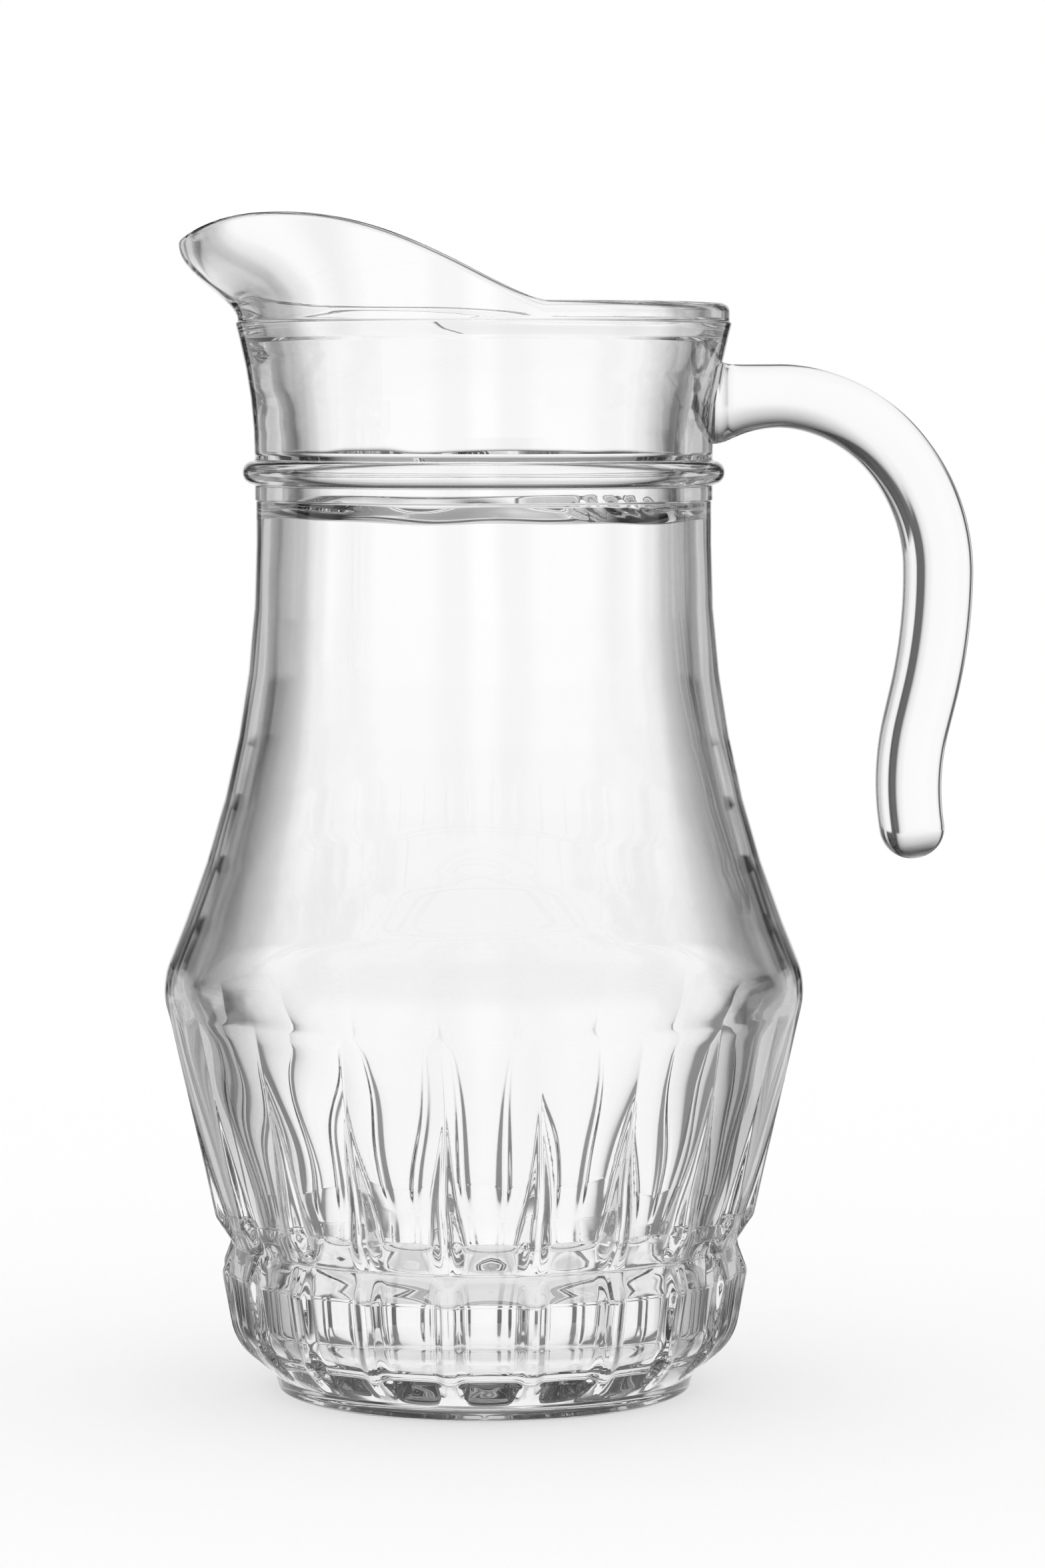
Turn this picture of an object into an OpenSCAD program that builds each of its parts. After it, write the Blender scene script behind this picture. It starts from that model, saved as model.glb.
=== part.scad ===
// Clear glass pitcher with a fluted belly, a beaded collar and a drawn spout.
// The solid glass handle is fused to the neck at one pad and hangs free below it.
// The jug's axis is Z, the foot stands on Z = 0, the handle points to +X and the spout to -X.

/* [Foot and base ring] */
// Diameter of the foot at the table
foot_d = 86.4; // [80:0.2:92]
// Height of the foot
foot_h = 3.4; // [2:0.1:5]
// How much the foot's radius grows from the table to its top edge
foot_flare = 0.8; // [0:0.1:1.5]
// Rounding of the foot's lower edge
foot_edge_r = 1; // [0.4:0.1:1.5]
// Width of the flat ring that the jug stands on
stand_w = 9; // [5:0.5:14]
// Rise of the hollow under the base
push_up = 2.5; // [1:0.1:3.5]
// Largest diameter of the base ring, over its ridges
base_ring_d = 110.8; // [106:0.2:116]
// Height of the base ring from the foot to its widest edge
base_ring_h = 22; // [18:0.2:27]
// How much the base ring narrows from its widest edge to the heel
base_ring_taper = 2.8; // [1.5:0.1:4.5]
// Height of the heel's corner over the foot
heel_h = 7; // [2:0.1:9]
// Rounding of the heel
heel_r = 13; // [8:0.5:14]
// Rounding of the base ring's widest edge
base_ring_edge_r = 3; // [1:0.1:4]
// Depth of the groove over the base ring
groove_depth = 2.4; // [1.5:0.1:3]
// Height of the groove over the base ring's widest edge
groove_rise = 6; // [4.5:0.1:8]
// Rounding of the groove
groove_r = 0.8; // [0.4:0.1:1.2]
// Depth of the shallow panels round the base ring
panel_depth = 0.5; // [0.3:0.05:0.8]
// Radius of the hollow across one panel
panel_section_r = 60; // [45:1:90]
// How far the ribs between the panels stand out
panel_rib_h = 1; // [0.6:0.05:1.4]
// Width of the ribs between the panels
panel_rib_w = 2.4; // [1.5:0.1:3.5]

/* [Belly] */
// Diameter at which the fluted cone and the shoulder would meet
belly_d = 134.8; // [130:0.2:142]
// Rounding of the belly
belly_r = 16; // [10:0.5:32]
// How far the fluted cone starts outside the base ring's radius
flute_overhang = 1.3; // [1:0.1:2.5]
// Height of the fluted cone's lower corner over the groove
flute_rise = 5.6; // [4.5:0.1:7]
// Rounding of the fluted cone's lower corner
flute_corner_r = 4; // [2:0.1:5]
// Height of the fluted cone up to the belly
flute_h = 48.1; // [40:0.1:54]
// Number of flutes, and of panels below them
flute_n = 20; // [16:1:22]
// Depth of a flute at its lower end
flute_depth = 0.8; // [0.5:0.05:1.2]
// Radius of the hollow across one flute
flute_section_r = 38; // [30:1:60]
// Distance below the belly at which a flute runs out
flute_end = 4; // [1:0.5:8]
// How far a spear-shaped rib between two flutes stands out at its lower end
rib_h = 1.3; // [0.8:0.05:1.6]
// Width of a rib's flat crest at its lower end
rib_crest_w = 1.8; // [1:0.1:2.6]
// Width of a rib's foot at its lower end
rib_foot_w = 8.2; // [6:0.1:10]
// Height from the flutes' lower corner to a rib's tip
rib_len = 31.7; // [24:0.1:38]

/* [Neck and mouth] */
// Height from the belly to where the shoulder line would meet the neck
shoulder_h = 50.9; // [44:0.1:60]
// Diameter of the neck
neck_d = 94.6; // [88:0.2:100]
// Radius of the sweep from the shoulder into the neck
neck_sweep_r = 214; // [150:1:230]
// Height of the neck from the shoulder line to the collar bead
neck_h = 55.3; // [50:0.1:66]
// How far the collar stands out from the neck
collar_step = 0.25; // [0.1:0.05:0.6]
// Height of the plain collar below the bead
collar_h = 5.6; // [4:0.1:8]
// Radius of the collar bead
bead_r = 2.5; // [1.5:0.1:3]
// Height from the bead to the step under the rim
mouth_h = 31; // [27:0.1:36]
// Diameter at the step under the rim
mouth_d = 103; // [99:0.2:108]
// Radius of the mouth's outward sweep
mouth_sweep_r = 110; // [60:1:115]

/* [Rim and spout] */
// How far the rim is set in from the step
rim_inset = 0.5; // [0.2:0.05:1]
// Height of the plain rim over the step
rim_h = 4; // [3:0.1:6]
// Thickness of the rim
rim_t = 3.6; // [2.8:0.1:4.2]
// Thickness of the spout's edge where it is highest
spout_t = 2; // [1.6:0.1:3.6]
// Depth of the band inside the mouth
rim_root = 3.5; // [2.5:0.1:5]
// How far the spout reaches out from the rim
spout_reach = 12.1; // [6:0.1:16]
// How far the spout's sides rise over the rim
spout_rise = 17.9; // [8:0.1:22]
// How far the spout's tip drops below its sides
spout_tip_drop = 4.6; // [1:0.1:7]
// Half angle of the spout as seen from above
spout_half_angle = 28; // [20:0.5:36]
// How far behind the jug's axis the spout's sides start to rise
spout_back = 11.5; // [0:0.5:20]
// How far in front of the jug's axis the spout's sides are highest
spout_crest = 44; // [34:0.5:48]

/* [Wall] */
// Wall at the belly
belly_wall = 3.7; // [2.8:0.1:6.4]
// Wall at the neck
neck_wall = 3.2; // [2.6:0.1:6]
// Wall from the ledge inside the neck up to the mouth
collar_wall = 5.4; // [4.4:0.1:7]
// How far the ledge inside the neck lies below the bead
ledge_drop = 8.8; // [7:0.1:12]
// Height over which the ledge inside the neck steps in
ledge_h = 2; // [1:0.1:4]
// Rounding of the ledge inside the neck
ledge_r = 1; // [0.4:0.1:1.5]
// Wall at the band inside the mouth
mouth_wall = 4.6; // [4.2:0.1:6]
// Wall at the fluted cone's lower corner, from its ribs
flute_wall = 5; // [4.4:0.1:8.5]
// Wall at the base ring, from its ribs
base_wall = 7.5; // [6.5:0.1:10]
// Rounding of the hollow where it follows the groove
wall_bend_r = 12; // [6:0.5:16]
// Thickness of the floor over the table
floor_t = 10; // [6:0.1:11]
// Rounding inside the floor
floor_r = 6; // [5:0.5:22]

/* [Handle] */
// Height of the handle's root over the collar bead
handle_up = 15.9; // [13:0.1:18]
// Length of the handle's straight root
handle_root = 11.5; // [8:0.1:16]
// Radius of the handle's upper bend
handle_bend_r = 33; // [28:0.5:40]
// Radius of the handle's turn into the grip
handle_turn_r = 38; // [30:0.5:46]
// Radius of the grip
grip_r = 110; // [80:1:200]
// How far the grip leans back to the jug, in degrees
grip_lean = 13.5; // [6:0.5:18]
// Length of the straight lower grip
grip_len = 6; // [2:0.5:14]
// Radius of the handle's tail
tail_r = 55; // [40:1:80]
// How far the tail turns out again, in degrees
tail_turn = 23; // [12:0.5:30]
// Thickness of the handle at its root
handle_root_t = 12.9; // [11:0.1:15]
// Thickness of the handle at the grip
handle_grip_t = 14.2; // [12:0.1:16]
// Thickness of the handle at its tail
handle_tail_t = 13.2; // [11:0.1:15]
// Width of the handle, as a multiple of its thickness
handle_oval = 1; // [0.9:0.01:1.4]
// How much the handle's root spreads where it meets the neck
handle_spread = 0.8; // [0.5:0.1:3]
// How far the handle's root runs down the neck below it
handle_fillet = 3.6; // [1.5:0.1:5]
// How square the handle's outer half is, from 2 for round
handle_square = 7; // [2:0.5:8]

/* [Hidden] */
$fn = 180;
glass = [0.86, 0.92, 0.93];
// largest turn of one straight piece in a rounded outline, in degrees
arc_step = 6;
// overlap of a cutting shape past the face it cuts
over = 1;
// share of a straight piece that its rounded corners may use up
corner_room = 0.98;
// how far the ribs stay away from the groove and the foot, where they run out
rib_gap = 0.6;
// depth of a rib's tip under the cone
rib_sink = 0.1;
// rounding of the cone where the ribs run out
cone_blend_r = 150;
// angle left between neighbouring flutes or panels
wedge_gap = 0.05;
// how far the hollow's bend reaches past the groove and past the flutes' lower corner
wall_blend = 1.2;

// radii of the outside
foot_r = foot_d / 2;
base_ring_r = base_ring_d / 2;
neck_r = neck_d / 2;
collar_r = neck_r + collar_step;
mouth_r = mouth_d / 2;
rim_r = mouth_r - rim_inset;
flute_r = base_ring_r + flute_overhang;
rib_tip_r = flute_r + (belly_d / 2 - flute_r) * rib_len / flute_h;

// heights of the outside
ring_z = foot_h + base_ring_h;
groove_z = ring_z + groove_rise;
flute_z = groove_z + flute_rise;
belly_z = flute_z + flute_h;
neck_z = belly_z + shoulder_h;
bead_z = neck_z + neck_h;
collar_z = bead_z - collar_h;
step_z = bead_z + mouth_h;
rim_z = step_z + rim_h;
band_z = step_z - rim_root;
sweep_z = bead_z + mouth_h / 2;
rib_tip_z = flute_z + rib_len;
ledge_z = bead_z - ledge_drop;

// corners of the outside between the ribs, each with its radius, height and rounding
outside = [
    [foot_r - stand_w, 0, 0],
    [foot_r, 0, foot_edge_r],
    [foot_r + foot_flare, foot_h, 0],
    [base_ring_r - base_ring_taper - panel_rib_h, foot_h + heel_h, heel_r],
    [base_ring_r - panel_rib_h, ring_z, base_ring_edge_r],
    [base_ring_r - groove_depth, groove_z, groove_r],
    [flute_r - rib_h, flute_z, flute_corner_r],
    [rib_tip_r, rib_tip_z, cone_blend_r],
    [belly_d / 2, belly_z, belly_r],
    [neck_r, neck_z, neck_sweep_r],
    [neck_r, collar_z - collar_step, 0],
    [collar_r, collar_z, 0],
    [collar_r, sweep_z, mouth_sweep_r],
    [mouth_r, step_z, 0]
];
// corners of the outside over the ribs' crests
ridges = [
    [0, foot_h, 0],
    [foot_r + foot_flare, foot_h, 0],
    [base_ring_r - base_ring_taper, foot_h + heel_h, heel_r],
    [base_ring_r, ring_z, base_ring_edge_r],
    [base_ring_r - groove_depth, groove_z, groove_r],
    [flute_r, flute_z, flute_corner_r],
    [belly_d / 2, belly_z, 0],
    [0, belly_z, 0]
];
// corners of the hollow, from the middle of the floor to the mouth
inside = [
    [0, floor_t, 0],
    [base_ring_r - base_wall, floor_t, floor_r],
    [base_ring_r - base_wall, groove_z - wall_blend, wall_bend_r],
    [flute_r - flute_wall, flute_z + wall_blend, wall_bend_r],
    [belly_d / 2 - belly_wall, belly_z, belly_r - belly_wall],
    [neck_r - neck_wall, neck_z, neck_sweep_r],
    [neck_r - neck_wall, ledge_z, ledge_r],
    [neck_r - collar_wall, ledge_z + ledge_h, ledge_r],
    [neck_r - collar_wall, sweep_z, mouth_sweep_r],
    [mouth_r - mouth_wall, band_z, 0],
    [rim_r - rim_t / 2, band_z, 0],
    [rim_r - rim_t / 2, step_z + over, 0],
    [0, step_z + over, 0]
];

function unit(v) = v / norm(v);
function flat(lists) = [for (list = lists) each list];

// Points of one rounded corner p between its neighbours a and b
function corner(a, p, b, r) =
    let (
        u = unit(a - p),
        v = unit(b - p),
        half = acos(u * v) / 2,
        room = corner_room * min(norm(a - p), norm(b - p)),
        rr = min(r, room * tan(half)),
        middle = p + unit(u + v) * rr / sin(half),
        turn = 180 - 2 * half,
        n = max(1, ceil(turn / arc_step)),
        side = sign(u.x * v.y - u.y * v.x),
        first = p + u * rr / tan(half) - middle
    )
    [
        for (i = [0 : n])
            let (t = -side * turn * i / n)
            middle + [first.x * cos(t) - first.y * sin(t), first.x * sin(t) + first.y * cos(t)]
    ];

// Outline through a list of corners, whose first and last stay sharp
function outline(c) = flat([
    for (i = [0 : len(c) - 1])
        let (p = [c[i].x, c[i].y])
        i == 0 || i == len(c) - 1 || c[i].z == 0
            ? [p]
            : corner([c[i - 1].x, c[i - 1].y], p, [c[i + 1].x, c[i + 1].y], c[i].z)
]);

// Polyhedron faces over closed rings of n points, with the last ring joined to the first or both ends capped
function ring_faces(rings, n, looped) = concat(
    flat([
        for (i = [0 : rings - (looped ? 1 : 2)], k = [0 : n - 1])
            let (a = i * n + k, b = i * n + (k + 1) % n, c = ((i + 1) % rings) * n, d = c + k, e = c + (k + 1) % n)
            [[a, b, e], [a, e, d]]
    ]),
    looped ? [] : [
        [for (k = [n - 1 : -1 : 0]) k],
        [for (k = [0 : n - 1]) (rings - 1) * n + k]
    ]
);

// Outside of the jug up to the step, as one turned solid
module turned_outside() {
    rotate_extrude()
        polygon(concat(outline(outside), [[0, step_z], [0, push_up], [foot_r - stand_w - over, push_up]]));
    translate([0, 0, bead_z])
        rotate_extrude()
            translate([collar_r, 0])
                circle(bead_r);
}

// Wedge round +X between two heights that keeps each flute or panel apart from the next
module wedge(z0, z1) {
    reach = belly_d;
    half = 180 / flute_n - wedge_gap;
    translate([0, 0, z0])
        linear_extrude(z1 - z0)
            polygon([[0, 0], [reach, -reach * tan(half)], [reach, reach * tan(half)]]);
}

// Flute that is cut as by a large round-edged wheel, deepest at its lower end
module flute() {
    low = [flute_r - rib_h, flute_z];
    along = unit([rib_tip_r, rib_tip_z] - low);
    out = [along.y, -along.x];
    length = (flute_h - flute_end) / along.y;
    wheel_r = length * length / (2 * flute_depth);
    middle = low + out * (wheel_r - flute_depth);
    intersection() {
        translate([middle.x, 0, middle.y])
            rotate([90, 0, 0])
                rotate_extrude()
                    translate([wheel_r - flute_section_r, 0])
                        circle(flute_section_r);
        wedge(groove_z, belly_z + belly_r);
    }
}

// Shallow panel on the side of the base ring
module panel() {
    low = [base_ring_r - base_ring_taper - panel_rib_h, foot_h + heel_h];
    high = [base_ring_r - panel_rib_h, ring_z];
    lean = atan((high.x - low.x) / (high.y - low.y));
    intersection() {
        translate([low.x - panel_depth, 0, low.y])
            rotate([0, lean, 0])
                translate([panel_section_r, 0, -foot_d / 2])
                    cylinder(r = panel_section_r, h = foot_d);
        wedge(foot_h, groove_z);
    }
}

// Blade with slanting sides that narrows to a tip, for a rib between two flutes
module flute_blade() {
    tip = [rib_tip_r - rib_sink, 0, rib_tip_z];
    // height at which the slanting sides would meet over the crest
    peak = rib_h * rib_crest_w / (rib_foot_w - rib_crest_w);
    root = rib_h + over;
    half = rib_foot_w / 2 * (root + peak) / (rib_h + peak);
    reach = (rib_tip_z - groove_z - rib_gap) / rib_len;
    low = [
        for (p = [[flute_r + peak, 0], [flute_r - root, -half], [flute_r - root, half]])
            tip + reach * ([p.x, p.y, flute_z] - tip)
    ];
    polyhedron(concat(low, [tip]), [[0, 2, 1], [0, 1, 3], [1, 2, 3], [2, 0, 3]]);
}

// Upright blade for a rib between two panels
module panel_blade() {
    translate([foot_r - over, -panel_rib_w / 2, foot_h + rib_gap])
        cube([base_ring_r - foot_r + 2 * over, panel_rib_w, base_ring_h + groove_rise - 2 * rib_gap]);
}

// Ribs between the flutes and between the panels, trimmed to the outline over their crests
module ribs() {
    intersection() {
        rotate_extrude()
            polygon(outline(ridges));
        for (i = [0 : flute_n - 1])
            rotate([0, 0, 360 / flute_n * (i + 0.5)]) {
                flute_blade();
                panel_blade();
            }
    }
}

spout_rings = 8;
spout_sides = 72;
edge_steps = 4;
// powers that shape the spout's front, its rising sides and its dropping tip
front_power = 0.85;
rise_power = 0.7;
drop_power = 2.4;

// How far the spout bulges out at an angle from its middle, from 1 down to 0
function spout_width(a) = exp(-pow(a / spout_half_angle, 2));
// How the spout's front sweeps out from the rim to the tip
function spout_sweep(v) = pow(sin(90 * pow(v, front_power)), 2);
// Radius of the spout's edge at an angle from its middle
function edge_r(a) = rim_r + spout_reach * spout_width(a);
// Height of the spout's edge at an angle from its middle
function edge_z(a) =
    let (
        ahead = edge_r(a) * cos(a),
        t = min(1, max(0, (ahead + spout_back) / (spout_crest + spout_back))),
        u = min(1, max(0, (ahead - spout_crest) / (rim_r + spout_reach - spout_crest)))
    )
    rim_z + spout_rise * pow(sin(90 * pow(t, rise_power)), 2) - spout_tip_drop * pow(u, drop_power);

// Thickness of the lip's edge, which thins out as the spout rises
function edge_t(a) = rim_t + (spout_t - rim_t) * min(1, max(0, (edge_z(a) - rim_z) / spout_rise));

// Section through the rim at an angle from the spout, from its outer foot over the edge to its inner foot
function rim_section(a) =
    let (
        edge = edge_t(a) / 2,
        top = edge_z(a) - edge,
        bulge = spout_reach * spout_width(a),
        levels = [for (i = [0 : spout_rings]) i / spout_rings],
        outer = [for (v = levels) [rim_r + bulge * spout_sweep(v), step_z + (top - step_z) * v]],
        inner = [for (v = levels) outer[v * spout_rings] - [rim_t + (2 * edge - rim_t) * v, 0]]
    )
    concat(
        [[rim_r - rim_t / 2, band_z - rim_inset], [rim_r, step_z - rim_inset]],
        outer,
        [for (i = [1 : edge_steps - 1])
            let (t = 180 * i / edge_steps)
            [rim_r + bulge - edge + edge * cos(t), top + edge * sin(t)]],
        [for (i = [spout_rings : -1 : 0]) inner[i]],
        [[rim_r - rim_t, band_z - rim_inset]]
    );

// Rim with its drawn spout
module rim() {
    sections = [for (k = [0 : spout_sides - 1]) rim_section(abs(360 * k / spout_sides - 180))];
    n = len(sections[0]);
    points = flat([
        for (k = [0 : spout_sides - 1])
            let (a = 360 * k / spout_sides)
            [for (p = sections[k]) [p.x * cos(a), p.x * sin(a), p.y]]
    ]);
    polyhedron(points, ring_faces(spout_sides, n, true));
}

// Outside of the jug with its flutes, panels and ribs, still solid
module shaped_outside() {
    difference() {
        turned_outside();
        for (i = [0 : flute_n - 1])
            rotate([0, 0, 360 / flute_n * i]) {
                flute();
                panel();
            }
    }
    ribs();
}

module jug_body() {
    color(glass, 0.5)
        union() {
            difference() {
                shaped_outside();
                rotate_extrude()
                    polygon(outline(inside));
            }
            rim();
        }
}

handle_z = bead_z + handle_up;
handle_sides = 28;
handle_steps = 34;
tip_steps = 5;
// turn of each of the handle's two upper bends, in degrees
bend_turn = 45;
// how far round the tip's last ring lies, in degrees
tip_turn = 86;
// share of the mouth's wall that the handle's sweep reaches into
root_share = 0.7;
// power by which rings crowd at the handle's root
crowding = 1.4;
// how far the spread of the root runs along the handle, as a multiple of it, and the power by which it fades
spread_run = 1.6;
spread_power = 1.5;
// radius of the neck at the handle's root
pad_r = collar_r + (mouth_r - collar_r) * pow(handle_up / mouth_h, 2);
// depth to which the handle's sweep reaches into the neck before the neck is cut away from it
root_in = root_share * mouth_wall;

// Pieces of the handle's middle line, each with its length and its turn towards the jug in degrees
runs = [
    [root_in + handle_root, 0],
    [handle_bend_r * bend_turn * PI / 180, bend_turn],
    [handle_turn_r * bend_turn * PI / 180, bend_turn],
    [grip_r * grip_lean * PI / 180, grip_lean],
    [grip_len, 0],
    [tail_r * tail_turn * PI / 180, -tail_turn]
];
function run_total(i) = i < 0 ? 0 : runs[i][0] + run_total(i - 1);
handle_len = run_total(len(runs) - 1);
grip_from = run_total(2);

// Place and heading after a distance along one run
function step_on(at, run, s) =
    let (
        turn = run[1] * s / run[0],
        chord = turn == 0 ? s : s * sin(turn / 2) / (turn / 2 * PI / 180),
        way = at[1] - turn / 2
    )
    [at[0] + chord * [cos(way), sin(way)], at[1] - turn];
// Place and heading at a distance along the whole handle
function along_handle(s, i = 0, at = [[pad_r - root_in, handle_z], 0]) =
    i == len(runs) - 1 || s <= runs[i][0]
        ? step_on(at, runs[i], s)
        : along_handle(s - runs[i][0], i + 1, step_on(at, runs[i], runs[i][0]));

// Thickness of the handle at a distance along it
function handle_t(s) =
    s < grip_from
        ? handle_root_t + (handle_grip_t - handle_root_t) * s / grip_from
        : handle_grip_t + (handle_tail_t - handle_grip_t) * (s - grip_from) / (handle_len - grip_from);
// How much of a spread at the root is left at a distance along the handle
function spread_left(s, spread) = spread * exp(-pow(max(0, s - root_in) / (spread_run * spread), spread_power));

// Point on a round or squarish closed curve of unit size, where a power of 2 gives a circle
function squarish(a, power) = [
    sign(cos(a)) * pow(abs(cos(a)), 2 / power),
    sign(sin(a)) * pow(abs(sin(a)), 2 / power)
];
// Ring across the handle, round on the side of the jug and squarish on the outer side
function handle_ring(s, t) =
    let (place = along_handle(s), side = [-sin(place[1]), cos(place[1])])
    [
        for (k = [0 : handle_sides - 1])
            let (
                a = 360 * (k + 0.5) / handle_sides,
                outer = cos(a) > 0,
                q = squarish(a, outer ? handle_square : 2),
                up = t / 2 + spread_left(s, outer ? handle_spread : handle_fillet),
                p = place[0] + side * q.x * up
            )
            [p.x, handle_oval * q.y * (t / 2 + spread_left(s, handle_spread)), p.y]
    ];

module handle() {
    root_steps = [for (i = [0 : 3]) root_in * i / 3];
    // rings crowd at the root, where it spreads, and are even further on
    body_steps = [for (i = [1 : handle_steps]) root_in + (handle_len - root_in) * pow(i / handle_steps, crowding)];
    rings = concat(
        [for (s = concat(root_steps, body_steps)) handle_ring(s, handle_t(s))],
        [for (i = [1 : tip_steps])
            let (t = tip_turn * i / tip_steps)
            handle_ring(handle_len + handle_tail_t / 2 * sin(t), handle_tail_t * cos(t))]
    );
    color(glass, 0.6)
        difference() {
            polyhedron(flat(rings), ring_faces(len(rings), handle_sides, false));
            turned_outside();
        }
}

jug_body();
handle();
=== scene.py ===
"""Clear glass pitcher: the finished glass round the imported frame, a pale floor, soft light and the camera."""
import math

import bpy
import numpy as np
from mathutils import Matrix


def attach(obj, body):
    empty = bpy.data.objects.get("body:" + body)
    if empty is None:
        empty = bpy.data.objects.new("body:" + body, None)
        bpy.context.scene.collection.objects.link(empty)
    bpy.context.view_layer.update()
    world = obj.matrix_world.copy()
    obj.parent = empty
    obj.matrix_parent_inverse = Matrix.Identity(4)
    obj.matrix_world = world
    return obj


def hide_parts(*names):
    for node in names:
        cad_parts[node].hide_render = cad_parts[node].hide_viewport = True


MM = 0.001

# sizes of the jug in millimetres: the outline, walls and handle line are those of the part's own source, and
# the flutes, panels, ledge and the handle's inner side are drawn to show as in the photograph
FOOT_R, FOOT_H, FOOT_FLARE, FOOT_EDGE_R = 43.2, 3.4, 0.8, 1.0
STAND_W, PUSH_UP = 9.0, 2.5
BASE_RING_R, BASE_RING_H, BASE_RING_TAPER, BASE_RING_EDGE_R = 55.4, 22.0, 2.8, 3.0
HEEL_H, HEEL_R = 7.0, 13.0
GROOVE_DEPTH, GROOVE_RISE, GROOVE_R = 2.4, 6.0, 0.8
BELLY_CORNER_R, BELLY_ROUND_R = 67.4, 16.0
FLUTE_OVERHANG, FLUTE_RISE, FLUTE_CORNER_R, FLUTE_H = 1.3, 5.6, 4.0, 48.1
FLUTE_N, FLUTE_DEPTH, FLUTE_TOP, FLUTE_TOP_DEPTH = 20, 1.3, 4.1, 0.25
FLUTE_FADE, FLUTE_P = 3.0, 1.5
RIB_H, RIB_CREST, RIB_FLANK, RIB_LEN, RIB_P = 1.3, 1.8, 3.2, 31.7, 1.6
PANEL_DEPTH, PANEL_RIB_H, PANEL_CREST, PANEL_FLANK = 0.5, 1.0, 1.8, 2.6
SHOULDER_H, NECK_R, NECK_SWEEP_R, NECK_H = 50.9, 47.3, 214.0, 55.3
COLLAR_STEP, COLLAR_H, BEAD_R = 0.25, 5.6, 2.5
MOUTH_H, MOUTH_R, MOUTH_SWEEP_R = 31.0, 51.5, 110.0
RIM_INSET, RIM_H, RIM_T, RIM_ROOT, BAND_STEP, SPOUT_T = 0.5, 4.0, 3.6, 3.5, 0.8, 2.0
SPOUT_REACH, SPOUT_RISE, SPOUT_TIP_DROP = 12.1, 17.9, 4.6
SPOUT_HALF_ANGLE, SPOUT_BACK, SPOUT_CREST = 28.0, 11.5, 44.0
SPOUT_RISE_P, SPOUT_TIP_P, SPOUT_SWEEP_P = 0.7, 2.4, 0.85
BELLY_WALL, NECK_WALL, MOUTH_WALL, FLUTE_WALL, BASE_WALL = 3.7, 3.2, 4.6, 5.0, 7.5
COLLAR_WALL, LEDGE_DROP, LEDGE_H, LEDGE_R = 5.4, 9.4, 3.2, 0.6
FLOOR_T, FLOOR_R, WALL_BEND_R, WALL_BLEND = 10.0, 6.0, 12.0, 1.2
HANDLE_UP, HANDLE_SUNK, HANDLE_ROOT = 15.9, 1.2, 11.5
HANDLE_BEND_R, HANDLE_TURN_R, HANDLE_TURN = 33.0, 38.0, 45.0
GRIP_R, GRIP_LEAN, GRIP_LEN, TAIL_R, TAIL_TURN = 110.0, 13.5, 6.0, 55.0, 23.0
HANDLE_ROOT_T, HANDLE_GRIP_T, HANDLE_TAIL_T = 12.9, 14.2, 13.2
HANDLE_SPREAD, HANDLE_FILLET, SPREAD_REACH, SPREAD_P = 0.8, 3.6, 1.6, 1.5
HANDLE_INNER_P, HANDLE_OUTER_P = 2.6, 7.0

# unevenness of the glass in millimetres: the ribs' waver with its rate up the jug and from rib to rib, the
# ledge's rise and fall, slow waves all over the hollow, waves at the mouth and behind the flutes
RIB_WAVER, WAVER_RATE, WAVER_SHIFT, WAVER_FADE = 0.5, 0.13, 2.4, 10.0
LEDGE_WAVE, SLOW_WAVE, MOUTH_WAVE, FLUTED_WAVE = 0.35, 0.12, 0.07, 0.16
WALL_FADE, MOUTH_FADE, BAND_FADE, FLUTED_FADE, FLUTED_OVER = 20.0, 8.0, 4.0, 12.0, 6.0
# humps over the bead, each as azimuth, half width in degrees and share, and wrinkles at the ledge
HUMP_H, HUMP_UP, HUMP_HALF = 0.06, 3.8, 1.2
HUMPS = ((236, 12, 1.0), (312, 11, 0.6))
WRINKLE_H, WRINKLE_UP, WRINKLE_HALF = 0.09, 3.0, 2.0
WRINKLE_AT, WRINKLE_WIDE, WRINKLE_N, WRINKLE_RATE = 306, 12, 60, 2.5

# radii and heights that follow from them
COLLAR_R = NECK_R + COLLAR_STEP
RIM_R = MOUTH_R - RIM_INSET
RING_Z = FOOT_H + BASE_RING_H
GROOVE_Z = RING_Z + GROOVE_RISE
FLUTE_Z = GROOVE_Z + FLUTE_RISE
BELLY_Z = FLUTE_Z + FLUTE_H
NECK_Z = BELLY_Z + SHOULDER_H
BEAD_Z = NECK_Z + NECK_H
COLLAR_Z = BEAD_Z - COLLAR_H
STEP_Z = BEAD_Z + MOUTH_H
RIM_Z = STEP_Z + RIM_H
BAND_Z = STEP_Z - RIM_ROOT
SWEEP_Z = BEAD_Z + MOUTH_H / 2
LEDGE_Z = BEAD_Z - LEDGE_DROP
HANDLE_Z = BEAD_Z + HANDLE_UP
PAD_R = COLLAR_R + (MOUTH_R - COLLAR_R) * (HANDLE_UP / MOUTH_H) ** 2

# rounding that fire polishing gives an edge which is drawn sharp, and the fineness of the meshes
POLISH_R = 0.35
NEARLY = 0.98
ARC_STEP = 4.0
ROW_GAP = 1.6
FLUTE_COLUMNS = (
    0.0, 0.2, 0.38, 0.5, 0.56, 0.62, 0.68, 0.74, 0.79, 0.83, 0.86, 0.88, 0.9, 0.92, 0.94, 0.97,
)
RIM_ROWS, EDGE_ROWS = 25, 11
HANDLE_STEP, HANDLE_SIDES, TIP_RINGS, TIP_END = 1.2, 64, 13, 86.0

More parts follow.
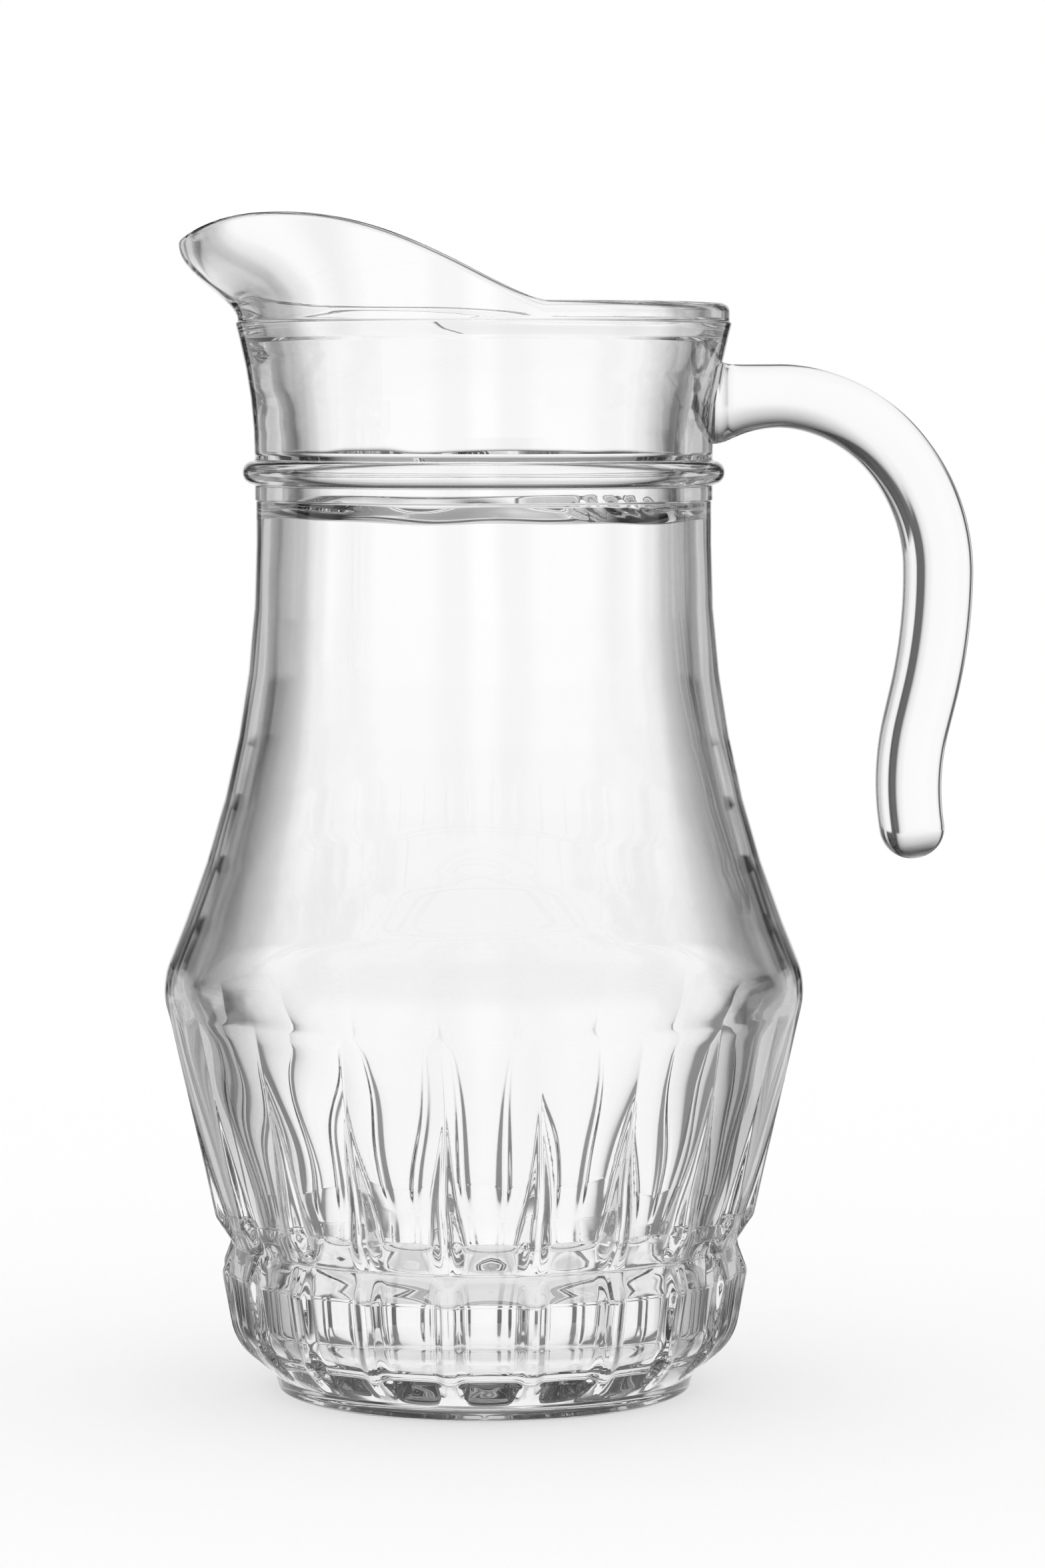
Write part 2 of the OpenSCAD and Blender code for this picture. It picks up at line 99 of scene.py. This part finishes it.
# camera: the photograph's frame in pixels, its lens and where it stands in millimetres
PHOTO_W, PHOTO_H = 1568, 2352
LENS_PX = 8200.0
AXIS_PX = 726.0
CAMERA_TURN, CAMERA_TILT = -1.4, 4.15
CAMERA_DISTANCE, CAMERA_Z = 1136.9, 208.9
SENSOR, CLIP_START = 36.0, 0.05

# glass: refraction, tint and its density, and a ripple with its height in metres
GLASS_IOR = 1.52
GLASS_TINT, GLASS_DENSITY = (0.9, 0.905, 0.9, 1), 6.0
RIPPLE_SCALE, RIPPLE_H = 45.0, 0.00006
PATH_BOUNCES, GLOSSY_BOUNCES = 32, 16

# light as the glass sees it: level by degrees to either side of straight behind the jug, and by degrees up;
# the wings stand above the horizon and are painted on the floor close to the jug, and the narrower flags stand
# at the horizon and are painted on the rest of the floor, so that level views stay clear
WINGS = (
    (0, 1), (10, 0.97), (14, 0.85), (17, 0.65), (20, 0.08), (38, 0.06), (41, 0.93), (49, 0.93),
    (52, 0.06), (82, 0.06), (85, 0.95), (96, 0.95), (102, 0.4), (112, 0.4), (117, 0.95), (150, 0.95),
    (158, 0.6), (169, 0.6), (176, 1),
)
FLAGS = (
    (0, 1), (8, 0.97), (12, 0.85), (14, 0.65), (16, 0.08), (25.5, 0.06), (28, 0.93), (70, 0.93),
    (73, 0.06), (80, 0.06), (83, 0.95), (98, 0.95), (103, 0.4), (111, 0.4), (117, 0.95), (150, 0.95),
    (158, 0.6), (169, 0.6), (176, 1),
)
UPWARD = (
    (0, 1), (5, 0.97), (8, 0.88), (12, 0.76), (17, 0.62), (22, 0.46), (27, 0.3), (34, 0.1),
    (60, 0.1), (72, 0.5), (90, 0.6),
)
# degrees above the horizon between which the flags give way to the wings
WING_FOOT = (2.0, 5.0)
# painted shade in the glass's colour: the share of white kept, from seen face on to seen along its surface
PAINTED_EDGE_SHADE = ((0, 1), (0.32, 1), (0.45, 0.58), (0.62, 0.32), (1, 0.16))
# how far a surface leans from upright, as its normal's share of Z, where the painted edge shade stops
LEVEL = (0.35, 0.75)
# the floor: its height, white and roughness, and in metres from the jug's axis where the painted wings start on
# it, where the painted flags take over from them and where it fades out
FLOOR_Z, FLOOR_WHITE, FLOOR_ROUGH = -0.0002, 0.995, 0.9
WING_START = (0.05, 0.07)
WING_END = (0.1, 0.15)
FLOOR_FADE = (0.5, 0.95)
# share of the floor's own glow to the camera and to the glass
FLOOR_GLOW = (0.5, 0.85)


def smooth(x):
    """Eased step from 0 to 1."""
    x = np.clip(x, 0, 1)
    return x * x * (3 - 2 * x)


def ease(x):
    """Straight slope from 0 to 1 with its two ends rounded off."""
    k = 0.25
    x = np.clip(x, 0, 1)
    low, high = x * x / 2 / k, 1 - k - (1 - x) ** 2 / 2 / k
    return np.where(x < k, low, np.where(x > 1 - k, high, x - k / 2)) / (1 - k)


def near(x, middle, half, power=2):
    """Share of 1 at a middle, which falls off beyond a half width."""
    return np.exp(-(((x - middle) / half) ** power))


def corner(a, p, b, r):
    """Points of one rounded corner p between its neighbours a and b."""
    a, p, b = np.array(a), np.array(p), np.array(b)
    u, v = (a - p) / np.linalg.norm(a - p), (b - p) / np.linalg.norm(b - p)
    half = math.acos(np.clip(u @ v, -1, 1)) / 2
    room = NEARLY * min(np.linalg.norm(a - p), np.linalg.norm(b - p))
    r = min(r, room * math.tan(half))
    middle = p + (u + v) / np.linalg.norm(u + v) * r / math.sin(half)
    turn = math.pi - 2 * half
    steps = max(2, math.ceil(math.degrees(turn) / ARC_STEP))
    side = np.sign(u[0] * v[1] - u[1] * v[0])
    first = p + u * r / math.tan(half) - middle
    t = -side * turn * np.arange(steps + 1) / steps
    x = first[0] * np.cos(t) - first[1] * np.sin(t)
    y = first[0] * np.sin(t) + first[1] * np.cos(t)
    return [tuple(middle + q) for q in zip(x, y)]


def outline(corners):
    """Outline through corners of radius, height and rounding, with long straight pieces divided."""
    rounded = [corners[0][:2]]
    for a, p, b in zip(corners, corners[1:], corners[2:]):
        rounded += corner(a[:2], p[:2], b[:2], p[2])
    rounded.append(corners[-1][:2])
    points = [rounded[0]]
    for a, b in zip(rounded, rounded[1:]):
        pieces = max(1, math.ceil(math.dist(a, b) / ROW_GAP))
        points += [tuple(np.array(a) + (np.array(b) - a) * k / pieces) for k in range(1, pieces + 1)]
    return np.array(points)


def outside_corners():
    """Corners of the jug's outside from the middle of the base to the step under the rim."""
    stand = FOOT_R - STAND_W
    bead = [
        (COLLAR_R, BEAD_Z - BEAD_R, POLISH_R),
        (COLLAR_R + BEAD_R, BEAD_Z - BEAD_R, NEARLY * BEAD_R),
        (COLLAR_R + BEAD_R, BEAD_Z + BEAD_R, NEARLY * BEAD_R),
        (COLLAR_R, BEAD_Z + BEAD_R, POLISH_R),
    ]
    return [
        (0, PUSH_UP, 0),
        (stand - PUSH_UP, PUSH_UP, 2 * PUSH_UP),
        (stand, 0, POLISH_R),
        (FOOT_R, 0, FOOT_EDGE_R),
        (FOOT_R + FOOT_FLARE, FOOT_H, POLISH_R),
        (BASE_RING_R - BASE_RING_TAPER, FOOT_H + HEEL_H, HEEL_R),
        (BASE_RING_R, RING_Z, BASE_RING_EDGE_R),
        (BASE_RING_R - GROOVE_DEPTH, GROOVE_Z, GROOVE_R),
        (BASE_RING_R + FLUTE_OVERHANG, FLUTE_Z, FLUTE_CORNER_R),
        (BELLY_CORNER_R, BELLY_Z, BELLY_ROUND_R),
        (NECK_R, NECK_Z, NECK_SWEEP_R),
        (NECK_R, COLLAR_Z - COLLAR_STEP, POLISH_R),
        (COLLAR_R, COLLAR_Z, POLISH_R),
        *bead,
        (COLLAR_R, SWEEP_Z, MOUTH_SWEEP_R),
        (MOUTH_R, STEP_Z, POLISH_R),
        (RIM_R, STEP_Z, POLISH_R),
        (RIM_R, STEP_Z + 2 * POLISH_R, 0),
    ]


def inside_corners():
    """Corners of the hollow from the rim's inner face down to the middle of the floor."""
    neck_in, collar_in = NECK_R - NECK_WALL, NECK_R - COLLAR_WALL
    return [
        (RIM_R - RIM_T, STEP_Z + 2 * POLISH_R, 0),
        (RIM_R - RIM_T, BAND_Z + BAND_STEP, 2 * POLISH_R),
        (MOUTH_R - MOUTH_WALL, BAND_Z, 2 * POLISH_R),
        (collar_in, SWEEP_Z, MOUTH_SWEEP_R),
        (collar_in, LEDGE_Z + LEDGE_H, LEDGE_R),
        (neck_in, LEDGE_Z, LEDGE_R),
        (neck_in, NECK_Z, NECK_SWEEP_R),
        (BELLY_CORNER_R - BELLY_WALL, BELLY_Z, BELLY_ROUND_R - BELLY_WALL),
        (BASE_RING_R + FLUTE_OVERHANG - FLUTE_WALL, FLUTE_Z + WALL_BLEND, WALL_BEND_R),
        (BASE_RING_R - BASE_WALL, GROOVE_Z - WALL_BLEND, WALL_BEND_R),
        (BASE_RING_R - BASE_WALL, FLOOR_T, FLOOR_R),
        (0, FLOOR_T, 0),
    ]


def relief(theta, r, z):
    """How deep the flutes and panels are sunk at each row and column, with raised ribs left between them."""
    r, z = r[:, None], z[:, None]
    cell = np.floor(theta * FLUTE_N / (2 * math.pi) + 0.0001)[None, :]
    waver = RIB_WAVER / r * np.sin(WAVER_RATE * z + WAVER_SHIFT * cell) * smooth((z - FLUTE_Z) / WAVER_FADE)
    u = np.abs(2 * (((theta[None, :] + waver) * FLUTE_N / (2 * math.pi) + 0.5) % 1) - 1)
    off = (1 - u) * math.pi * r / FLUTE_N
    top = BELLY_Z - FLUTE_TOP
    run = np.clip((top - z) / (top - FLUTE_Z), 0, 1)
    hollow = FLUTE_TOP_DEPTH * smooth((top - z) / FLUTE_FADE)
    hollow = hollow + (FLUTE_DEPTH - FLUTE_TOP_DEPTH) * run**FLUTE_P
    spear = np.clip((FLUTE_Z + RIB_LEN - z) / RIB_LEN, 0, 1)
    flank = np.maximum(RIB_FLANK * spear, 0.01)
    rib = RIB_H * spear**RIB_P * ease((off - RIB_CREST / 2 * spear) / flank)
    flute = (hollow * (1 - u * u) + rib) * np.clip((z - GROOVE_Z) / FLUTE_RISE, 0, 1)
    side = PANEL_RIB_H * ease((off - PANEL_CREST / 2) / PANEL_FLANK)
    ends = smooth((z - FOOT_H) / HEEL_H) * np.clip((GROOVE_Z - z) / GROOVE_RISE, 0, 1)
    panel = (PANEL_DEPTH * (1 - u * u) + side) * ends
    return np.where(z > GROOVE_Z, flute, panel)


def outside_rows(theta):
    """Rows of the outside, with the flutes and panels sunk square to its outline."""
    line = outline(outside_corners())
    along = np.gradient(line, axis=0)
    along /= np.linalg.norm(along, axis=1)[:, None]
    sunk = relief(theta, line[:, 0], line[:, 1])
    sunk[(line[:, 0] < FOOT_R) | (line[:, 1] > BELLY_Z)] = 0
    r = line[:, :1] - along[:, 1:] * sunk
    z = line[:, 1:] + along[:, :1] * sunk
    return r, z


def rim_rows(theta):
    """Rows over the rim and its drawn spout, from the outer foot over the edge to the inner foot."""
    a = np.abs(theta % (2 * math.pi) - math.pi)
    width = np.exp(-((np.degrees(a) / SPOUT_HALF_ANGLE) ** 2))
    bulge = SPOUT_REACH * width
    ahead = (RIM_R + bulge) * np.cos(a)
    t = np.clip((ahead + SPOUT_BACK) / (SPOUT_CREST + SPOUT_BACK), 0, 1)
    u = np.clip((ahead - SPOUT_CREST) / (RIM_R + SPOUT_REACH - SPOUT_CREST), 0, 1)
    high = SPOUT_RISE * np.sin(math.pi / 2 * t**SPOUT_RISE_P) ** 2 - SPOUT_TIP_DROP * u**SPOUT_TIP_P
    edge = (RIM_T + (SPOUT_T - RIM_T) * np.clip(high / SPOUT_RISE, 0, 1)) / 2
    top = RIM_Z + high - edge
    foot = STEP_Z + 2 * POLISH_R
    v = np.linspace(0, 1, RIM_ROWS)[:, None]
    sweep = np.sin(math.pi / 2 * v**SPOUT_SWEEP_P) ** 2
    z = foot + (top - foot) * v
    half = np.radians(np.linspace(0, 180, EDGE_ROWS)[1:-1])[:, None]
    r_edge = RIM_R + bulge - edge + edge * np.cos(half)
    z_edge = top + edge * np.sin(half)
    r_out = RIM_R + bulge * sweep
    r_in = r_out - RIM_T - (2 * edge - RIM_T) * v
    return np.vstack([r_out, r_edge, r_in[::-1]]), np.vstack([z, z_edge, z[::-1]])


def inside_rows(theta):
    """Rows of the hollow, with the blown glass's slow waves and the uneven ledge under the collar."""
    line = outline(inside_corners())
    r = np.repeat(line[:, :1], len(theta), axis=1)
    z = np.repeat(line[:, 1:], len(theta), axis=1)
    wave = np.sin(2 * theta + 0.6) + 0.7 * np.sin(5 * theta + 2) + 0.4 * np.sin(11 * theta)
    z += LEDGE_WAVE * wave * near(z, LEDGE_Z + LEDGE_H / 2, 2 * LEDGE_H)
    wall = smooth((z - FLOOR_T - FLOOR_R) / WALL_FADE)
    r -= SLOW_WAVE * wall * np.sin(3 * theta + 0.05 * z) * np.sin(0.09 * z + 1.3 * np.cos(theta))
    mouth = smooth((z - BEAD_Z - MOUTH_FADE) / MOUTH_FADE) * smooth((BAND_Z - z) / BAND_FADE)
    r -= MOUTH_WAVE * mouth * np.sin(0.5 * z + 2 * np.sin(2 * theta))
    fluted = smooth((z - GROOVE_Z) / FLUTED_FADE) * smooth((BELLY_Z + FLUTED_OVER - z) / FLUTED_FADE)
    r -= FLUTED_WAVE * fluted * np.sin(0.19 * z + 2.2 * np.sin(3 * theta + 1)) * np.sin(7 * theta + 0.05 * z)
    degrees = np.degrees(theta)
    hump = sum(share * near(degrees, middle, half, 4) for middle, half, share in HUMPS)
    r -= HUMP_H * hump * near(z, BEAD_Z + HUMP_UP, HUMP_HALF)
    wrinkled = near(degrees, WRINKLE_AT, WRINKLE_WIDE, 4) * near(z, LEDGE_Z + WRINKLE_UP, WRINKLE_HALF)
    r -= WRINKLE_H * wrinkled * np.sin(WRINKLE_N * theta + WRINKLE_RATE * z)
    return r, z


def closed_mesh(name, r, z, theta):
    """Closed turned mesh from rows of radius and height, whose first and last row are single points."""
    rows, cols = r.shape
    x = r[1:-1] * np.cos(theta)
    y = r[1:-1] * np.sin(theta)
    ring = np.stack([x, y, z[1:-1]], axis=2).reshape(-1, 3)
    ends = np.array([[0, 0, z[0, 0]], [0, 0, z[-1, 0]]])
    verts = np.vstack([ring, ends]) * MM
    faces = []
    for i in range(rows - 3):
        for k in range(cols):
            n = (k + 1) % cols
            faces.append((i * cols + k, i * cols + n, (i + 1) * cols + n, (i + 1) * cols + k))
    first, last = len(ring), len(ring) + 1
    for k in range(cols):
        n = (k + 1) % cols
        faces.append((first, n, k))
        faces.append((last, (rows - 3) * cols + k, (rows - 3) * cols + n))
    return mesh_object(name, verts, faces)


def mesh_object(name, verts, faces):
    """Smooth-shaded mesh object."""
    mesh = bpy.data.meshes.new(name)
    mesh.from_pydata([tuple(v) for v in verts], [], faces)
    mesh.polygons.foreach_set("use_smooth", [True] * len(mesh.polygons))
    mesh.update()
    obj = bpy.data.objects.new(name, mesh)
    bpy.context.scene.collection.objects.link(obj)
    return obj


def make_body():
    """The jug's glass as one closed skin: base, outside, rim, spout and hollow."""
    half = np.array(FLUTE_COLUMNS)
    share = np.concatenate([half, [1.0], 2 - half[:0:-1]]) / 2
    theta = 2 * math.pi / FLUTE_N * (np.arange(FLUTE_N)[:, None] + share[None, :]).ravel()
    parts = [outside_rows(theta), rim_rows(theta), inside_rows(theta)]
    r = np.vstack([parts[0][0], parts[1][0][1:-1], parts[2][0]])
    z = np.vstack([parts[0][1], parts[1][1][1:-1], parts[2][1]])
    return closed_mesh("glass_body", r, z, theta)


def handle_line():
    """Points along the handle's middle line as distance, X, Z and heading, and where the grip starts."""
    runs = [
        (HANDLE_SUNK + HANDLE_ROOT, 0),
        (HANDLE_BEND_R * math.radians(HANDLE_TURN), HANDLE_TURN),
        (HANDLE_TURN_R * math.radians(HANDLE_TURN), HANDLE_TURN),
        (GRIP_R * math.radians(GRIP_LEAN), GRIP_LEAN),
        (GRIP_LEN, 0),
        (TAIL_R * math.radians(TAIL_TURN), -TAIL_TURN),
    ]
    s, x, z, way = 0.0, PAD_R - HANDLE_SUNK, HANDLE_Z, 0.0
    out = [(s, x, z, way)]
    for length, turn in runs:
        steps = math.ceil(length / HANDLE_STEP)
        for _ in range(steps):
            ds, dt = length / steps, math.radians(turn) / steps
            x += ds * math.cos(way - dt / 2)
            z += ds * math.sin(way - dt / 2)
            way -= dt
            s += ds
            out.append((s, x, z, way))
    return np.array(out), sum(r[0] for r in runs[:3])


def make_handle():
    """The handle as one closed sweep with a spread root and a round tip."""
    sides = HANDLE_SIDES
    line, grip_from = handle_line()
    total = line[-1, 0]
    rings = []
    for s, x, z, way in line:
        if s < grip_from:
            t = HANDLE_ROOT_T + (HANDLE_GRIP_T - HANDLE_ROOT_T) * s / grip_from
        else:
            t = HANDLE_GRIP_T + (HANDLE_TAIL_T - HANDLE_GRIP_T) * (s - grip_from) / (total - grip_from)
        away = max(0, s - HANDLE_SUNK)
        side, below = (
            k * math.exp(-((away / (SPREAD_REACH * k)) ** SPREAD_P)) for k in (HANDLE_SPREAD, HANDLE_FILLET)
        )
        rings.append((x, z, way, t, side, below))
    _, x, z, way = line[-1]
    for k in range(1, TIP_RINGS + 1):
        q = math.radians(TIP_END * k / TIP_RINGS)
        ahead = HANDLE_TAIL_T / 2 * math.sin(q)
        tip_x, tip_z = x + ahead * math.cos(way), z + ahead * math.sin(way)
        rings.append((tip_x, tip_z, way, HANDLE_TAIL_T * math.cos(q), 0, 0))
    a = 2 * math.pi * (np.arange(sides) + 0.5) / sides
    power = np.where(np.cos(a) > 0, HANDLE_OUTER_P, HANDLE_INNER_P)
    flank = np.sign(np.sin(a)) * np.abs(np.sin(a)) ** (2 / power)
    rise = np.sign(np.cos(a)) * np.abs(np.cos(a)) ** (2 / power)
    verts = []
    for x, z, way, t, side, below in rings:
        across = (t / 2 + side) * flank
        up = (t / 2 + np.where(rise > 0, side, below)) * rise
        verts.append(np.stack([x - math.sin(way) * up, across, z + math.cos(way) * up], axis=1))
    verts = np.vstack(verts) * MM
    faces = []
    for i in range(len(rings) - 1):
        for k in range(sides):
            n = (k + 1) % sides
            faces.append((i * sides + k, (i + 1) * sides + k, (i + 1) * sides + n, i * sides + n))
    faces.append(tuple(range(sides)))
    faces.append(tuple((len(rings) - 1) * sides + k for k in reversed(range(sides))))
    return mesh_object("glass_handle", verts, faces)


def glass_material(name):
    """Clear soda-lime glass with a faint grey-green depth, and painted shade in its colour where an upright
    wall is seen along its surface.
    """
    mat = bpy.data.materials.new(name)
    mat.use_nodes = True
    tree = mat.node_tree
    nodes, links = tree.nodes, tree.links
    shader = nodes["Principled BSDF"]
    graze = nodes.new("ShaderNodeLayerWeight")
    graze.inputs["Blend"].default_value = 0.5
    form = nodes.new("ShaderNodeNewGeometry")
    split = nodes.new("ShaderNodeSeparateXYZ")
    links.new(form.outputs["Normal"], split.inputs[0])
    level = ease_node(tree, math_node(tree, "ABSOLUTE", split.outputs["Z"]), *LEVEL)
    # painted shade: the glass's colour darkens towards its outline on upright walls, standing in for the room's
    # dark sides
    edge = ramp_node(tree, graze.outputs["Facing"], PAINTED_EDGE_SHADE, 1)
    links.new(mix_node(tree, level, edge, 1.0), shader.inputs["Base Color"])
    shader.inputs["Roughness"].default_value = 0.0
    shader.inputs["IOR"].default_value = GLASS_IOR
    shader.inputs["Transmission Weight"].default_value = 1.0
    place = nodes.new("ShaderNodeTexCoord")
    ripple = nodes.new("ShaderNodeTexNoise")
    ripple.inputs["Scale"].default_value = RIPPLE_SCALE
    ripple.inputs["Detail"].default_value = 1.0
    links.new(place.outputs["Object"], ripple.inputs["Vector"])
    bump = nodes.new("ShaderNodeBump")
    bump.inputs["Strength"].default_value = 1.0
    bump.inputs["Distance"].default_value = RIPPLE_H
    links.new(ripple.outputs["Fac"], bump.inputs["Height"])
    links.new(bump.outputs["Normal"], shader.inputs["Normal"])
    volume = nodes.new("ShaderNodeVolumeAbsorption")
    volume.inputs["Color"].default_value = GLASS_TINT
    volume.inputs["Density"].default_value = GLASS_DENSITY
    links.new(volume.outputs["Volume"], nodes["Material Output"].inputs["Volume"])
    return mat


def math_node(tree, kind, *values):
    """Math node with sockets or numbers as its inputs."""
    node = tree.nodes.new("ShaderNodeMath")
    node.operation = kind
    for i, value in enumerate(values):
        if isinstance(value, (int, float)):
            node.inputs[i].default_value = value
        else:
            tree.links.new(value, node.inputs[i])
    return node.outputs[0]


def ramp_node(tree, value, stops, end):
    """Grey ramp through stops of place and level, where the places run up to an end."""
    node = tree.nodes.new("ShaderNodeValToRGB")
    element = node.color_ramp.elements
    while len(element) > 1:
        element.remove(element[-1])
    for i, (place, grey) in enumerate(stops):
        e = element[0] if i == 0 else element.new(place / end)
        e.position = place / end
        e.color = (grey, grey, grey, 1)
    tree.links.new(value, node.inputs["Fac"])
    return node.outputs["Color"]


def around_node(tree, x, y, stops):
    """Level of the room in a direction round the jug: bright, with the dark parts that the stops say."""
    turn = math_node(tree, "ADD", math_node(tree, "ARCTAN2", x, y), math.radians(CAMERA_TURN))
    share = math_node(tree, "DIVIDE", math_node(tree, "ABSOLUTE", turn), math.pi)
    return ramp_node(tree, share, stops, 180)


def ease_node(tree, value, low, high):
    """Eased step from 0 at the low value to 1 at the high one."""
    node = tree.nodes.new("ShaderNodeMapRange")
    node.interpolation_type = "SMOOTHSTEP"
    node.inputs["From Min"].default_value = low
    node.inputs["From Max"].default_value = high
    tree.links.new(value, node.inputs["Value"])
    return node.outputs["Result"]


def glass_rays(tree):
    """1 for a ray that comes through glass or off it, else 0."""
    path = tree.nodes.new("ShaderNodeLightPath")
    return math_node(tree, "MAXIMUM", path.outputs["Is Transmission Ray"], path.outputs["Is Glossy Ray"])


def mix_node(tree, factor, a, b):
    """Mix of two levels, each a socket or a number."""
    node = tree.nodes.new("ShaderNodeMix")
    node.data_type = "FLOAT"
    tree.links.new(factor, node.inputs["Factor"])
    for name, value in (("A", a), ("B", b)):
        if isinstance(value, (int, float)):
            node.inputs[name].default_value = value
        else:
            tree.links.new(value, node.inputs[name])
    return node.outputs["Result"]


def make_world():
    """White to the camera and the floor, and to the glass a bright room with dark wings and a dark top."""
    world = bpy.data.worlds.new("studio")
    bpy.context.scene.world = world
    world.use_nodes = True
    tree = world.node_tree
    place = tree.nodes.new("ShaderNodeTexCoord")
    split = tree.nodes.new("ShaderNodeSeparateXYZ")
    tree.links.new(place.outputs["Generated"], split.inputs[0])
    wings = around_node(tree, split.outputs["X"], split.outputs["Y"], WINGS)
    flags = around_node(tree, split.outputs["X"], split.outputs["Y"], FLAGS)
    height = math_node(tree, "DIVIDE", math_node(tree, "ARCSINE", split.outputs["Z"]), math.pi / 2)
    upward = ramp_node(tree, height, UPWARD, 90)
    raised = ease_node(tree, height, WING_FOOT[0] / 90, WING_FOOT[1] / 90)
    around = mix_node(tree, raised, flags, wings)
    shade = math_node(tree, "MULTIPLY", around, upward)
    path = tree.nodes.new("ShaderNodeLightPath")
    direct = math_node(tree, "LESS_THAN", path.outputs["Diffuse Depth"], 0.5)
    through = math_node(tree, "MULTIPLY", glass_rays(tree), direct)
    background = tree.nodes["Background"]
    tree.links.new(mix_node(tree, through, 1.0, shade), background.inputs["Strength"])
    background.inputs["Color"].default_value = (1, 1, 1, 1)


def make_floor():
    """A wide sheet of white paper that fades out into the room, glowing to the camera and the glass, with the
    room's dark wings and flags painted on it as the glass sees it.
    """
    half = FLOOR_FADE[1]
    sheet = [(x * half, y * half, FLOOR_Z) for x, y in ((-1, -1), (1, -1), (1, 1), (-1, 1))]
    floor = mesh_object("floor", sheet, [(0, 1, 2, 3)])
    mat = bpy.data.materials.new("floor_white")
    mat.use_nodes = True
    tree = mat.node_tree
    nodes, links = tree.nodes, tree.links
    shader = nodes["Principled BSDF"]
    shader.inputs["Base Color"].default_value = (FLOOR_WHITE, FLOOR_WHITE, FLOOR_WHITE, 1)
    shader.inputs["Roughness"].default_value = FLOOR_ROUGH
    shader.inputs["Specular IOR Level"].default_value = 0.0
    place = nodes.new("ShaderNodeTexCoord")
    split = nodes.new("ShaderNodeSeparateXYZ")
    links.new(place.outputs["Object"], split.inputs[0])
    away = nodes.new("ShaderNodeVectorMath")
    away.operation = "LENGTH"
    links.new(place.outputs["Object"], away.inputs[0])
    seen = glass_rays(tree)
    wings = around_node(tree, split.outputs["X"], split.outputs["Y"], WINGS)
    flags = around_node(tree, split.outputs["X"], split.outputs["Y"], FLAGS)
    around = mix_node(tree, ease_node(tree, away.outputs["Value"], *WING_END), wings, flags)
    start = ease_node(tree, away.outputs["Value"], *WING_START)
    shaded = math_node(tree, "MULTIPLY", seen, start)
    glow = nodes.new("ShaderNodeEmission")
    # painted shade: to the glass the floor's glow carries the room's dark wings and flags beyond the jug's foot
    links.new(mix_node(tree, shaded, 1.0, around), glow.inputs["Strength"])
    paper = nodes.new("ShaderNodeMixShader")
    links.new(mix_node(tree, seen, *FLOOR_GLOW), paper.inputs[0])
    links.new(shader.outputs[0], paper.inputs[1])
    links.new(glow.outputs[0], paper.inputs[2])
    clear = nodes.new("ShaderNodeBsdfTransparent")
    faded = nodes.new("ShaderNodeMixShader")
    links.new(ease_node(tree, away.outputs["Value"], *FLOOR_FADE), faded.inputs[0])
    links.new(paper.outputs[0], faded.inputs[1])
    links.new(clear.outputs[0], faded.inputs[2])
    links.new(faded.outputs[0], nodes["Material Output"].inputs["Surface"])
    floor.data.materials.append(mat)


def make_camera():
    """Camera at the photograph's place, looking level across the jug and a little down."""
    data = bpy.data.cameras.new("camera")
    data.sensor_fit = "VERTICAL"
    data.sensor_height = SENSOR
    data.lens = SENSOR * LENS_PX / PHOTO_H
    data.clip_start = CLIP_START
    camera = bpy.data.objects.new("camera", data)
    bpy.context.scene.collection.objects.link(camera)
    turn = math.radians(CAMERA_TURN)
    aside = math.atan((PHOTO_W / 2 - AXIS_PX) / LENS_PX)
    camera.location = (
        CAMERA_DISTANCE * math.sin(turn) * MM,
        -CAMERA_DISTANCE * math.cos(turn) * MM,
        CAMERA_Z * MM,
    )
    camera.rotation_euler = (math.radians(90 - CAMERA_TILT), 0, turn - aside)
    bpy.context.scene.camera = camera


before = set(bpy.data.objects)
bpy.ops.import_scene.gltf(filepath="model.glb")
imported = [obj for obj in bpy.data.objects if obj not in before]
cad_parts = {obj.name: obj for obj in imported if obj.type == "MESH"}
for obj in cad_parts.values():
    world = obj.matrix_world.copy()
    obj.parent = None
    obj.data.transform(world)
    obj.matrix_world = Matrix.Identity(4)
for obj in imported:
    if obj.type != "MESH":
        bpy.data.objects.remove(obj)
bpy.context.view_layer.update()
bpy.context.scene.view_settings.view_transform = "Standard"
make_camera()
make_world()
make_floor()
body = make_body()
body.data.materials.append(glass_material("body_glass"))
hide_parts("jug_body")
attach(body, "root")
handle = make_handle()
handle.data.materials.append(glass_material("handle_glass"))
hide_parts("handle")
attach(handle, "root")
bpy.context.scene.cycles.max_bounces = PATH_BOUNCES
bpy.context.scene.cycles.transmission_bounces = PATH_BOUNCES
bpy.context.scene.cycles.glossy_bounces = GLOSSY_BOUNCES
